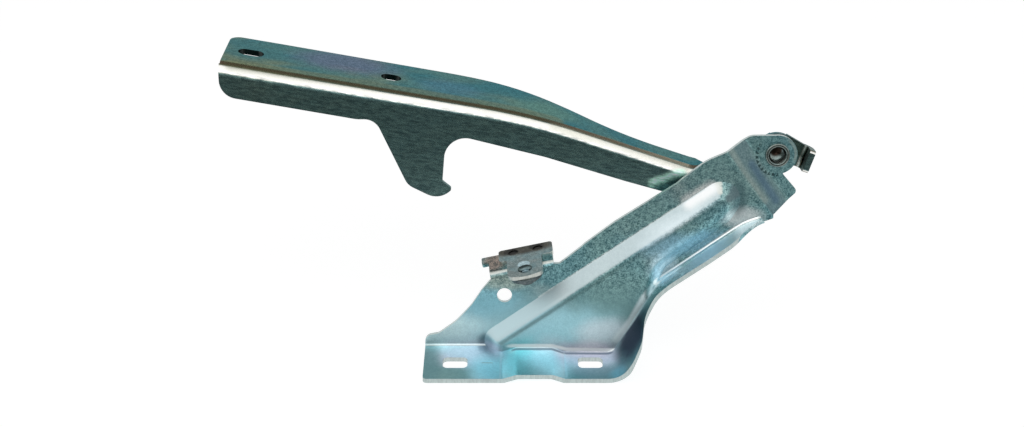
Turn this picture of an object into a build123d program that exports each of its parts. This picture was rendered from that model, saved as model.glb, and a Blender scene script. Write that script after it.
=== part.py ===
from build123d import *
import math
import os

# Hood hinge, millimetres.
# The base flange lies on the XY plane, +Z is up and the pressed side of the
# bracket looks along -Y. The origin is midway between the two base slots, on
# the underside of the base flange. Outlines named with u and v are drawn on
# the front face of the bracket's main plate: u runs along the base, v up the
# plate, and both start where plate and base flange would meet in a sharp edge.

# Sheet thicknesses and bends
bracket_sheet = 3.0
arm_sheet = 3.5
nut_plate_sheet = 2.5
bend_inner_radius = 2.0

# How the main plate stands on the base flange
plate_lean = 11.0
slot_line_to_plate = 19.0
base_flange_depth = 36.0
base_left_u = -60.0
base_corner_radius = 2.5

# Base slots
slot_spacing = 82.0
slot_length = 15.0
slot_width = 11.0
slot_corner_radius = 3.0

# Raised pad in the middle of the base flange
pad_height = 2.8
pad_left_x = -4.0
pad_right_x = 18.0
pad_ramp_left = 8.2
pad_ramp_right = 7.3
pad_edge_radius = 6.0

# Stamped dash on the base flange
dash_x = -21.6
dash_y = -0.5
dash_length = 7.0
dash_width = 1.2
dash_depth = 0.3

# Side flange: corners of the line where it meets the plate
side_corner_low = (54.5, 0.0)
side_corner_mid = (77.7, 39.8)
side_corner_high = (133.0, 79.5)
side_top_angle = 19.0
side_low_radius = 6.0
side_mid_radius = 25.0
side_high_radius = 30.0

# Raised panel of the plate
panel_height = 7.0
panel_ramp_taper = 50.0
panel_crown_radius = 9.0
panel_end_radius = 11.5
panel_nose_radius = 10.0
panel_nose = (-23.5, 8.2)
panel_side_low = (110.0, 20.0)
panel_side_notch = (92.0, 26.0)
panel_side_waist = (80.0, 46.0)
panel_side_high = (124.0, 80.5)
panel_end_low = (137.0, 101.0)
panel_end_high = (116.0, 106.25)

# Ear with the pivot, set back from the plate
pivot_u = 152.3
pivot_v = 119.6
ear_set_back = 8.0
ear_radius = 12.0
joggle_angle = 36.0
joggle_start = 22.9
joggle_end = 10.4
joggle_inner_radius = 7.0

# Top flange, measured from the left end of its bend
top_bend_u = -20.2
top_bend_v = 47.0
top_flange_angle = 12.0
top_flange_length = 39.6
top_flange_depth = 20.0
tab_reach = 4.5
tab_width = 6.5

# Round hole of the plate
plate_hole_u = -11.1
plate_hole_v = 32.9
plate_hole_radius = 4.6

# Nut plate and weld nut on the top flange
nut_plate_left = 6.7
nut_plate_length = 33.6
nut_bar_front = 7.0
nut_bar_back = 20.0
tongue_left = 11.4
tongue_width = 21.6
tongue_reach = 15.0
tongue_shoulder = 9.5
nut_forward = 6.6
tongue_hole_radius = 4.5
weld_dimple_radius = 4.2
weld_dimple_depth = 0.5
weld_dimple_spacing = 15.2
weld_dimple_back = 14.5
nut_flange_radius = 9.8
nut_flange_thickness = 2.5
nut_flat_gap = 0.6
nut_barrel_radius = 5.2
nut_barrel_length = 4.0
nut_thread_radius = 3.4
nut_chamfer = 0.6

# Pivot
rivet_shank_radius = 5.5
rivet_rim_radius = 7.4
rivet_rim_height = 1.6
rivet_bore_radius = 4.3
rivet_mouth_radius = 5.5
rivet_bore_depth = 6.5
rivet_head_radius = 9.0
rivet_head_thickness = 3.0
rivet_head_rounding = 1.0
running_clearance = 0.05
bush_wall = 1.1
bush_flange_radius = 10.5
bush_flange_thickness = 1.0
rear_washer_radius = 10.0
rear_washer_thickness = 1.2

# Arm: its flange, and the line where its web and its flange would meet
arm_flange_tilt = 9.0
arm_end_u = -181.0
arm_end_v = 174.5
arm_slope = -9.8
arm_straight_u = 4.7
arm_low_slope = -18.5
arm_valley_u = 106.0
arm_neck_slope = 27.0
arm_neck_u = 112.8
arm_bend_radius = 400.0
arm_valley_radius = 14.0
arm_flange_depth = 46.8
arm_rim_depth = 17.0
arm_bend_inner_radius = 5.0
arm_eye_radius = 12.3

# Slots in the arm's flange, placed along the arm from its free end
arm_slot_width = 9.0
arm_slot_long = 15.6
arm_slot_short = 12.4
arm_slot_back = 25.4
arm_slot_back_short = 23.7
arm_slot_first = 16.2
arm_slot_pitch = 85.8

# Stop tab at the arm's eye
tab_fold_u = pivot_u + 16.4
tab_fold_v = pivot_v - 2.2
tab_fold_angle = 71.5
tab_fold_length = 14.0
tab_height = 10.0
tab_inner_radius = 3.0
tab_corner_radius = 2.0

# Room left round the tools that cut and join the sheets
beyond = 60.0


def cosd(angle):
    """Cosine of an angle in degrees."""
    return math.cos(math.radians(angle))


def sind(angle):
    """Sine of an angle in degrees."""
    return math.sin(math.radians(angle))


def tand(angle):
    """Tangent of an angle in degrees."""
    return math.tan(math.radians(angle))


def along(point, angle, distance):
    """The point that lies a distance from another at an angle."""
    return (point[0] + distance * cosd(angle), point[1] + distance * sind(angle))


def grown(outline, amount):
    """Outline moved outward by an amount, its corners kept sharp."""
    return offset(outline, amount=amount + 1e-4, kind=Kind.INTERSECTION)


def narrowing(outline, depth, angle):
    """Block on the XY plane whose outline narrows upward at an angle."""
    return extrude(outline, amount=depth, taper=angle)


def rounded(corners, radii):
    """Polygon with some corners rounded: radii gives corner number and radius."""
    turns = zip(corners, corners[1:] + corners[:1])
    area = sum(a[0] * b[1] - b[0] * a[1] for a, b in turns)
    outline = Polygon(*(corners if area > 0 else corners[::-1]), align=None)
    for number, radius in radii.items():
        vertex = outline.vertices().sort_by_distance(Vector(*corners[number]))[0]
        outline = fillet(vertex, radius)
    return outline


def bent_sheet(front, sheet, inner_radius):
    """Section of a bent sheet: front is one side, the sheet lies to its right."""
    steps = [
        Vector(b[0] - a[0], b[1] - a[1]).normalized() for a, b in zip(front, front[1:])
    ]
    sides = [Vector(step.Y, -step.X) for step in steps]
    back = []
    for number, point in enumerate(front):
        first = sides[max(number - 1, 0)]
        second = sides[min(number, len(sides) - 1)]
        mean = first + second
        shift = mean * (2 * sheet / mean.dot(mean))
        back.append((point[0] + shift.X, point[1] + shift.Y))
    corners = list(front) + back[::-1]
    radii = {}
    for number in range(1, len(front) - 1):
        turn = steps[number - 1].X * steps[number].Y - steps[number - 1].Y * steps[number].X
        outer = inner_radius + sheet
        radii[number] = inner_radius if turn > 0 else outer
        radii[len(corners) - 1 - number] = outer if turn > 0 else inner_radius
    return rounded(corners, radii)


# The plate frame: x along the base, y up the plate, z out of its front face
plate_frame = Plane(
    origin=(0, slot_line_to_plate, bracket_sheet),
    x_dir=(1, 0, 0),
    z_dir=(0, -cosd(plate_lean), sind(plate_lean)),
)
# The levels of the pivot stack, above the plate's front face
ear_front = -ear_set_back
ear_back = ear_front - bracket_sheet
arm_front = ear_back - bush_flange_thickness
arm_back = arm_front - arm_sheet
washer_back = arm_back - rear_washer_thickness

# Flange frame: x along the top bend, y to the back, z up, on the flange's top
top_bend_direction = Vector(cosd(top_flange_angle), sind(top_flange_angle), 0)
top_bend_across = Vector(-sind(top_flange_angle), cosd(top_flange_angle), 0)
top_flange_back = top_bend_across * sind(plate_lean) - Vector(0, 0, cosd(plate_lean))
flange_frame = Plane(
    origin=(top_bend_u, top_bend_v, 0),
    x_dir=top_bend_direction,
    z_dir=top_bend_direction.cross(top_flange_back),
)


def pan_block(grow, low, high, bend):
    """Tapered block with the flange walls as its sides, grown outward."""
    reach = 260.0
    end = along(side_corner_high, side_top_angle, beyond)
    corners = [
        (-reach, 0),
        side_corner_low,
        side_corner_mid,
        side_corner_high,
        end,
        (end[0], reach),
        (-reach, reach),
    ]
    outline = rounded(
        corners, {1: side_low_radius, 2: side_mid_radius, 3: side_high_radius}
    )
    outline = grown(mirror(outline, Plane.XZ), grow + high * tand(plate_lean))
    block = narrowing(outline, high - low, plate_lean)
    block = Pos(0, 0, high) * (Rot(180, 0, 0) * block)
    return fillet(block.faces().sort_by(Axis.Z)[0].edges(), bend)


def panel_block(inset, low, high, crown):
    """Tapered block of the raised panel, its ramps moved inward by inset."""
    side = [panel_side_low, panel_side_notch, panel_side_waist, panel_side_high]
    corners = [
        panel_nose,
        (panel_nose[0], -beyond),
        (panel_side_low[0], -beyond),
        *side,
        panel_end_low,
        panel_end_high,
    ]
    outline = rounded(
        corners, {0: panel_nose_radius, 7: panel_end_radius, 8: panel_end_radius}
    )
    outline = grown(outline, -(inset + low * tand(panel_ramp_taper)))
    block = Pos(0, 0, low) * narrowing(outline, high - low, panel_ramp_taper)
    return fillet(block.faces().sort_by(Axis.Z)[-1].edges(), crown)


def pad_block(lift, spread):
    """Block under the raised pad, up to lift, its ramps moved by spread."""
    foot_left = pad_left_x - pad_ramp_left
    foot_right = pad_right_x + pad_ramp_right
    corners = [
        (foot_left + spread, lift - pad_height),
        (pad_left_x + spread, lift),
        (pad_right_x - spread, lift),
        (foot_right - spread, lift - pad_height),
        (foot_right - spread, -beyond),
        (foot_left + spread, -beyond),
    ]
    section = rounded(corners, {1: pad_edge_radius, 2: pad_edge_radius})
    return extrude(Plane.XZ * section, amount=2 * beyond, both=True)


def pan():
    """Plate, base flange, side flange, raised panel and pad as one sheet."""
    panel_shift = bracket_sheet / cosd(panel_ramp_taper)
    bend_outer_radius = bend_inner_radius + bracket_sheet
    air = plate_frame * pan_block(0, 0, beyond, bend_inner_radius)
    air -= plate_frame * panel_block(
        0, -beyond / 6, panel_height, panel_crown_radius
    )
    air -= pad_block(bracket_sheet + pad_height, 0)
    solid = plate_frame * pan_block(
        bracket_sheet / cosd(plate_lean), -bracket_sheet, beyond, bend_outer_radius
    )
    solid -= plate_frame * panel_block(
        panel_shift,
        -beyond / 6,
        panel_height - bracket_sheet,
        panel_crown_radius - bracket_sheet,
    )
    solid -= pad_block(pad_height, 1.0)
    return solid - air


def plate_outline():
    """Blank of the plate and ear, open toward the base and side flanges."""
    bend_low = (top_bend_u, top_bend_v - bend_inner_radius - bracket_sheet)
    bend_right = along(bend_low, top_flange_angle, top_flange_length)
    notch_v = 53.5
    corners = [
        (base_left_u, -beyond),
        (base_left_u, 6.2),
        (-51.5, 7.7),
        (-41.0, 15.5),
        (-31.5, 26.0),
        (-24.8, 36.4),
        bend_low,
        bend_right,
        (bend_right[0], notch_v),
        (bend_right[0] + 4.0, notch_v),
        (35.5, 64.1),
        (37.5, 66.1),
        (55.4, 80.0),
        (91.8, 103.9),
        (96.0, 107.7),
        (108.8, 118.0),
        (122.0, 123.8),
        (136.3, 131.4),
        (pivot_u - 9.8, pivot_v + 11.9),
        (pivot_u, pivot_v + ear_radius - 0.1),
        (pivot_u, pivot_v),
        (pivot_u + 3.2, pivot_v - 9.5),
        (pivot_u + 4.1, pivot_v - 12.2),
        (pivot_u + 13.2, pivot_v - 22.6),
        (pivot_u + 7.2, pivot_v - 28.4),
        (pivot_u - 1.8, pivot_v - 35.1),
        (pivot_u - 1.8, pivot_v - beyond),
        (200.0, -beyond),
    ]
    radii = {1: 4.5, 2: 6, 3: 25, 4: 25, 5: 15, 9: 2, 12: 60, 15: 30, 17: 8, 23: 2.5, 24: 6}
    ear = Pos(pivot_u, pivot_v) * Circle(ear_radius)
    return rounded(corners, radii) + ear


def front_outline():
    """Outline of base and side flange seen from above, up to their front edge."""
    front = slot_line_to_plate - base_flange_depth
    corners = [
        (base_left_u, front),
        (65.2, front),
        (70.8, front + 7.0),
        (74.0, front + 27.0),
        (88.0, 15.6),
        (112.0, 18.2),
        (126.0, 20.6),
        (141.0, 31.6),
        (153.0, 34.4),
        (220.0, 34.4),
        (220.0, 160.0),
        (base_left_u, 160.0),
    ]
    radii = {0: base_corner_radius, 1: 4, 2: 10, 3: 12, 4: 20, 5: 40, 6: 15, 7: 12}
    return rounded(corners, radii)


def ear_strip():
    """Plate end, joggle and ear as a bent strip across the plate."""
    section = bent_sheet(
        [
            (-joggle_start - 30.0, 0),
            (-joggle_start, 0),
            (-joggle_end, -ear_set_back),
            (beyond / 2, -ear_set_back),
        ],
        bracket_sheet,
        joggle_inner_radius,
    )
    strip_plane = Plane(
        origin=(pivot_u, pivot_v, 0),
        x_dir=(cosd(joggle_angle), sind(joggle_angle), 0),
        z_dir=(sind(joggle_angle), -cosd(joggle_angle), 0),
    )
    strip = extrude(strip_plane * section, amount=beyond, both=True)
    walls = pan_block(
        bracket_sheet / cosd(plate_lean), -beyond / 3, beyond, bend_inner_radius
    )
    return strip & walls


def top_flange():
    """Top flange with its bend, its side tab and the strip of plate below."""
    section = bent_sheet(
        [(-14.0, 0), (0, 0), along((0, 0), plate_lean - 90, top_flange_depth)],
        bracket_sheet,
        bend_inner_radius,
    )
    section_plane = Plane(
        origin=(top_bend_u, top_bend_v, 0),
        x_dir=top_bend_across,
        z_dir=top_bend_direction,
    )
    flange = extrude(section_plane * section, amount=top_flange_length)
    tab = Pos(-tab_reach / 2 + 1.0, top_flange_depth - tab_width / 2) * Rectangle(
        tab_reach + 2.0, tab_width
    )
    tab = fillet(tab.vertices().group_by(Axis.X)[0], 1.0)
    return flange + flange_frame * extrude(tab, amount=-bracket_sheet)


def slot_sketch():
    """Base slot: a rectangle with small rounded corners."""
    return RectangleRounded(slot_length, slot_width, slot_corner_radius)


def body_bracket():
    """The bracket stamping."""
    plate_cut = -joggle_start - 6.0
    edge = along((pivot_u, pivot_v), joggle_angle, plate_cut)
    keep = Location((edge[0], edge[1], 0), (0, 0, joggle_angle)) * Box(
        4 * beyond, 8 * beyond, 8 * beyond, align=(Align.MAX, Align.CENTER, Align.CENTER)
    )
    body = pan() & (plate_frame * keep)
    body += plate_frame * (ear_strip() - keep)
    outline = extrude(Pos(0, 0, -beyond) * plate_outline(), amount=2 * beyond)
    body = body & (plate_frame * outline)
    body = body & extrude(Pos(0, 0, -beyond) * front_outline(), amount=6 * beyond)
    body += plate_frame * top_flange()
    for side in (-1, 1):
        hole = Pos(side * slot_spacing / 2, 0, -1) * slot_sketch()
        body -= extrude(hole, amount=bracket_sheet + 2)
    dash = Pos(dash_x, dash_y, bracket_sheet) * SlotOverall(dash_length, dash_width)
    body -= extrude(dash, amount=dash_depth, both=True)
    hole_u_v = Pos(plate_hole_u, plate_hole_v, -2 * bracket_sheet)
    body -= plate_frame * (hole_u_v * extrude(Circle(plate_hole_radius), 4 * bracket_sheet))
    pivot_hole = Pos(pivot_u, pivot_v, ear_back - 1) * extrude(
        Circle(rivet_shank_radius), bracket_sheet + 2
    )
    return body - plate_frame * pivot_hole


def arm_top_line(reach):
    """Corners of the line where the arm's web and flange would meet."""
    bend_v = arm_end_v + (arm_straight_u - arm_end_u) * tand(arm_slope)
    valley_v = bend_v + (arm_valley_u - arm_straight_u) * tand(arm_low_slope)
    start = along((arm_end_u, arm_end_v), arm_slope, -reach)
    last = along((arm_valley_u, valley_v), arm_neck_slope, reach)
    return [start, (arm_straight_u, bend_v), (arm_valley_u, valley_v), last]


def arm_block(drop, front, bend, margin):
    """Block under the arm's flange that widens to the back, dropped by drop."""
    corners = arm_top_line(beyond + margin)
    low = -beyond - margin
    corners += [(corners[-1][0], low), (corners[0][0], low)]
    outline = rounded(corners, {1: arm_bend_radius, 2: arm_valley_radius})
    outline = grown(outline, beyond * tand(arm_flange_tilt) - drop)
    block = Pos(0, 0, front - beyond) * narrowing(outline, beyond, arm_flange_tilt)
    return fillet(block.faces().sort_by(Axis.Z)[-1].edges(), bend)


def arm_web_outline():
    """Outline of the arm's web with its crash hook, up to the pivot."""
    corners = [
        (arm_end_u + 1.0, arm_end_v + 10.0),
        (arm_end_u + 1.0, 154.8),
        (-99.0, 140.5),
        (-88.3, 140.6),
        (-69.6, 99.6),
        (-50.6, 90.0),
        (-42.6, 97.0),
        (-48.6, 101.9),
        (-46.0, 132.2),
        (13.3, 117.2),
        (61.8, 102.1),
        (95.0, 92.6),
        (pivot_u - 16.0, pivot_v - 17.0),
        (pivot_u, pivot_v - arm_eye_radius + 0.1),
        (pivot_u, pivot_v),
        (pivot_u - 4.0, pivot_v + 12.0),
        (arm_neck_u, 112.3),
        (arm_neck_u, 150.0),
        (20.0, 175.0),
    ]
    radii = {1: 11, 2: 20, 3: 10, 4: 10, 5: 12, 6: 1.5, 7: 1.5, 8: 13, 9: 60, 11: 25, 12: 60}
    return rounded(corners, radii)


def arm_eye_outline():
    """Eye round the pivot, with the tongue that carries the stop tab."""
    fold = (tab_fold_u, tab_fold_v)
    edge = along(fold, tab_fold_angle + 90, 2.0)
    tongue = Polygon(
        (pivot_u, pivot_v),
        (pivot_u + 11.0, pivot_v - 7.6),
        along(edge, tab_fold_angle, -tab_fold_length / 2),
        along(edge, tab_fold_angle, tab_fold_length / 2),
        (pivot_u + 6.1, pivot_v + 11.3),
        align=None,
    )
    return Pos(pivot_u, pivot_v) * Circle(arm_eye_radius) + tongue


def arm_flange_outline():
    """Outline of the arm's flange seen from above, in u and w."""
    corners = [
        (arm_end_u + 1.5, 0),
        (arm_end_u + 1.5, -arm_flange_depth),
        (-150.0, -arm_flange_depth),
        (-14.4, -arm_flange_depth + 1.6),
        (61.3, -arm_rim_depth),
        (105.0, -arm_rim_depth),
        (113.5, 0),
    ]
    outline = rounded(corners, {1: 7, 3: 190, 4: 120, 5: 5})
    return Plane(origin=(0, 0, arm_front), x_dir=(1, 0, 0), z_dir=(0, -1, 0)) * outline


def stop_tab():
    """Stop tab bent to the front, with the tongue of web that carries it."""
    section = bent_sheet(
        [(-12.0, arm_front), (0, arm_front), (0, arm_front + tab_height)],
        arm_sheet,
        tab_inner_radius,
    )
    section_plane = Plane(
        origin=(tab_fold_u, tab_fold_v, 0),
        x_dir=(sind(tab_fold_angle), -cosd(tab_fold_angle), 0),
        z_dir=(-cosd(tab_fold_angle), -sind(tab_fold_angle), 0),
    )
    tab = extrude(section_plane * section, amount=tab_fold_length / 2, both=True)
    end = tab.faces().sort_by(Axis.Z)[-1]
    return fillet(end.edges().sort_by(SortBy.LENGTH)[:2], tab_corner_radius)


def arm_slots():
    """Cutters for the two slots of the arm's flange."""
    start = arm_top_line(0)[0]
    direction = Vector(cosd(arm_slope), sind(arm_slope), 0)
    across = Vector(-sind(arm_slope), cosd(arm_slope), 0)
    back = across * sind(arm_flange_tilt) - Vector(0, 0, cosd(arm_flange_tilt))
    top = Plane(
        origin=(start[0], start[1], arm_front), x_dir=direction, z_dir=direction.cross(back)
    )
    second = arm_slot_first + arm_slot_pitch
    front_slot = Pos(arm_slot_first, arm_slot_back) * SlotOverall(arm_slot_long, arm_slot_width)
    rear_slot = Pos(second, arm_slot_back_short) * SlotOverall(arm_slot_short, arm_slot_width)
    return top * extrude(front_slot + rear_slot, amount=2 * arm_sheet, both=True)


def web_slab(outline):
    """Flat piece of the arm's web with a given outline."""
    return extrude(Pos(0, 0, arm_back) * outline, amount=arm_sheet)


def hood_arm():
    """The arm stamping: web, flange, hook, eye and stop tab."""
    bend_outer_radius = arm_bend_inner_radius + arm_sheet
    inner_drop = arm_sheet / cosd(arm_flange_tilt) - arm_sheet * tand(arm_flange_tilt)
    outer = arm_block(0, arm_front, bend_outer_radius, 0)
    inner = arm_block(inner_drop, arm_back, arm_bend_inner_radius, beyond)
    web = web_slab(arm_web_outline())
    flange = extrude(arm_flange_outline(), amount=4 * beyond, both=True)
    flange -= Pos(0, 0, arm_back) * Box(
        10 * beyond, 10 * beyond, beyond, align=(Align.CENTER, Align.CENTER, Align.MIN)
    )
    neck = web & Pos(arm_neck_u, 0, 0) * Box(
        beyond, 10 * beyond, beyond, align=(Align.MIN, Align.CENTER, Align.CENTER)
    )
    arm = (outer - inner) & (web + flange)
    arm += neck
    arm += web_slab(arm_eye_outline())
    arm += stop_tab()
    arm -= arm_slots()
    hole = Circle(rivet_shank_radius + running_clearance + bush_wall)
    return plate_frame * (arm - web_slab(Pos(pivot_u, pivot_v) * hole))


def turned(corners, radii):
    """Body turned round the pivot axis: corners are radius and level."""
    return plate_frame * Pos(pivot_u, pivot_v) * revolve(
        Plane.XZ * rounded(corners, radii), Axis.Z
    )


def pivot_rivet():
    """Hollow-ended rivet: rear head, shank and rolled rim on the ear."""
    head_back = washer_back - rivet_head_thickness
    rim_top = ear_front + rivet_rim_height
    bore_low = rim_top - rivet_bore_depth
    corners = [
        (0, head_back),
        (rivet_head_radius, head_back),
        (rivet_head_radius, washer_back),
        (rivet_shank_radius, washer_back),
        (rivet_shank_radius, ear_front),
        (rivet_rim_radius, ear_front),
        (rivet_rim_radius, rim_top),
        (rivet_mouth_radius, rim_top),
        (rivet_bore_radius, ear_front),
        (rivet_bore_radius, bore_low),
        (0, bore_low - 1.6),
    ]
    return turned(corners, {1: rivet_head_rounding, 6: 0.9, 7: 0.7})


def pivot_bush():
    """Flanged bush in the arm's eye, its flange against the ear."""
    inner = rivet_shank_radius + running_clearance
    corners = [
        (inner, arm_back),
        (inner + bush_wall, arm_back),
        (inner + bush_wall, arm_front),
        (bush_flange_radius, arm_front),
        (bush_flange_radius, ear_back),
        (inner, ear_back),
    ]
    return turned(corners, {4: 0.3})


def rear_washer():
    """Washer between the arm and the rivet's rear head."""
    corners = [
        (rivet_shank_radius, washer_back),
        (rear_washer_radius, washer_back),
        (rear_washer_radius, arm_back),
        (rivet_shank_radius, arm_back),
    ]
    return turned(corners, {1: 0.3})


def nut_plate():
    """Nut plate: a bar welded on the top flange and a tongue to the front."""
    bar_depth = nut_bar_back - nut_bar_front
    bar = Pos(
        nut_plate_left + nut_plate_length / 2, nut_bar_front + bar_depth / 2
    ) * RectangleRounded(nut_plate_length, bar_depth, 2.0)
    left = tongue_left
    right = tongue_left + tongue_width
    corners = [
        (left, nut_bar_front + 4.0),
        (left, -tongue_shoulder - 3.5),
        (left + tongue_width / 2, -tongue_reach - 1.0),
        (right, -tongue_shoulder - 3.5),
        (right, nut_bar_front + 4.0),
    ]
    tongue = rounded(corners, {1: 4.0, 2: 16.0, 3: 4.0})
    outline = bar + tongue
    inside = outline.vertices().filter_by(
        lambda v: abs(v.Y - nut_bar_front) < 0.01 and left - 0.1 < v.X < right + 0.1
    )
    outline = fillet(inside, 2.0)
    outline -= Pos(left + tongue_width / 2, -nut_forward) * Circle(tongue_hole_radius)
    plate = extrude(outline, amount=nut_plate_sheet)
    middle = nut_plate_left + nut_plate_length / 2
    for side in (-1, 1):
        place = Pos(middle + side * weld_dimple_spacing / 2, weld_dimple_back, nut_plate_sheet)
        plate -= place * extrude(
            Circle(weld_dimple_radius - 1.0), amount=-weld_dimple_depth, taper=-30
        )
    return plate_frame * (flange_frame * plate)


def weld_nut():
    """Weld nut under the tongue: flange with one flat, round barrel, thread."""
    flange = Circle(nut_flange_radius) & Pos(0, nut_forward - nut_flat_gap) * Rectangle(
        4 * nut_flange_radius, 4 * nut_flange_radius, align=(Align.CENTER, Align.MAX)
    )
    nut = extrude(flange, amount=-nut_flange_thickness)
    depth = nut_flange_thickness + nut_barrel_length
    nut += extrude(Circle(nut_barrel_radius), amount=-depth)
    end = nut.faces().sort_by(Axis.Z)[0]
    nut = chamfer(end.edges(), nut_chamfer)
    nut -= extrude(Circle(nut_thread_radius), amount=-depth)
    place = Pos(tongue_left + tongue_width / 2, -nut_forward)
    return plate_frame * (flange_frame * (place * nut))


if __name__ == "__main__":
    os.makedirs("parts", exist_ok=True)
    for make in (
        body_bracket,
        hood_arm,
        pivot_rivet,
        pivot_bush,
        rear_washer,
        nut_plate,
        weld_nut,
    ):
        shape = make()
        print(make.__name__, round(shape.volume, 1), len(shape.solids()), shape.is_valid)
        export_step(shape, f"parts/{make.__name__}.step")
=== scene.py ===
"""Hood hinge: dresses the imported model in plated-steel finishes and lights it in a small studio."""

import logging
from dataclasses import dataclass
from enum import Enum
from math import cos, pi, radians, sin

import bpy
import numpy as np
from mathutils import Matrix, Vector

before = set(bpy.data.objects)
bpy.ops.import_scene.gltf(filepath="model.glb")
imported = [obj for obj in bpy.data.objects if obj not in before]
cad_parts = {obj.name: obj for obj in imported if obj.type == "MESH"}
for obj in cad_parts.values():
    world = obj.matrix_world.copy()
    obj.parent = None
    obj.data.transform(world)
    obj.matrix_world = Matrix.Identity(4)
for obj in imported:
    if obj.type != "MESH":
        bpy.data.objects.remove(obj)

log = logging.getLogger("hood_hinge")

Socket = bpy.types.NodeSocket
Groups = dict[str, bpy.types.NodeTree]
Inputs = dict[str, object]
Point = tuple[float, float, float]
Colour = tuple[float, float, float]
ScreenColour = tuple[int, int, int]

# How the bracket's plate stands in the row frame: its lean, and the foot of its front face
PLATE_LEAN: float = radians(11.0)
PLATE_FOOT: Point = (0.0, 0.019, 0.003)
PLATE_UP: Point = (0.0, sin(PLATE_LEAN), cos(PLATE_LEAN))
PLATE_FRONT: Point = (0.0, -cos(PLATE_LEAN), sin(PLATE_LEAN))
PLATE_BACK: Point = (0.0, cos(PLATE_LEAN), -sin(PLATE_LEAN))

# The pivot's place on the plate: along the base, and up the plate, in metres
PIVOT_ALONG: float = 0.1523
PIVOT_UP: float = 0.1196

# Directions: out of the nut plate, out of the side flange's inner face, along the arm, and
# out of a slot's walls that look forward or down (long, so that slanting ones count too)
NUT_PLATE_UP: Point = (-0.2041, -0.0041, 0.9789)
# The side flange's inner face gets painted shade.
SIDE_FLANGE_IN: Point = (-0.85, -0.09, 0.52)
ARM_ALONG: Point = (0.985, 0.0, -0.17)
# Slot walls that look this way get painted shade.
SLOT_WALLS: Point = (0.0, -2.0, -1.0)

# Marks round the pivot: where each starts, is full, fades and ends, in metres and radians
BURR_RING: tuple[float, ...] = (0.0108, 0.0112, 0.0129, 0.0134)
BURR_ARC: tuple[float, ...] = (-0.62, -0.50, 1.60, 1.72)
BURRS_PER_RADIAN: float = 4.6
CRESCENT_RING: tuple[float, ...] = (0.0098, 0.0106, 0.0112, 0.0122)
CRESCENT_ARC: tuple[float, ...] = (-0.55, -0.15, 0.75, 1.15)

# Middles of the arm's slots, and of the nut plate's two welds
ARM_SLOTS: tuple[Point, ...] = ((-0.1655, 0.089, 0.168), (-0.08, 0.0845, 0.1528))
WELDS: tuple[Point, ...] = ((-0.0071, 0.045, 0.054), (0.0083, 0.0462, 0.0572))

# A share along a direction that no normal reaches, for a band that is open upward
NO_LIMIT: float = 2.0

# Height of a full bump, and how far a bared edge takes to start, in metres
BUMP_HEIGHT: float = 0.0003
EDGE_START: float = 0.0008

WHITE: Colour = (1.0, 1.0, 1.0)
PIT_COLOUR: Colour = (0.03, 0.045, 0.045)
CLOTH: Colour = (0.16, 0.17, 0.16)
TOP_CARD: Colour = (0.26, 0.23, 0.21)
NODE_GAP: int = 180


def screen(colour: ScreenColour) -> Colour:
    """Linear colour of a screen colour.

    Each value, as a share of 255, is undone from the screen's curve: a power of
    2.4 on the shifted share, and a straight line near black.

    Args:
        colour: red, green and blue, each 0 to 255.

    Returns:
        The linear colour.
    """
    share = np.array(colour) / 255.0
    linear = np.where(share <= 0.04045, share / 12.92, ((share + 0.055) / 1.055) ** 2.4)
    return tuple(float(value) for value in linear)


def plate_point(along: float, up: float) -> Point:
    """Row-frame point of a place on the front face of the bracket's plate.

    The point is the plate's foot, plus each distance along its own direction.

    Args:
        along: distance along the base, in metres.
        up: distance up the plate, in metres.

    Returns:
        The point in the row frame, in metres.
    """
    place = np.array(PLATE_FOOT) + up * np.array(PLATE_UP)
    return (along, float(place[1]), float(place[2]))


class Kind(Enum):
    """Socket types that the groups use."""

    FLOAT = "NodeSocketFloat"
    COLOUR = "NodeSocketColor"
    VECTOR = "NodeSocketVector"


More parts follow.
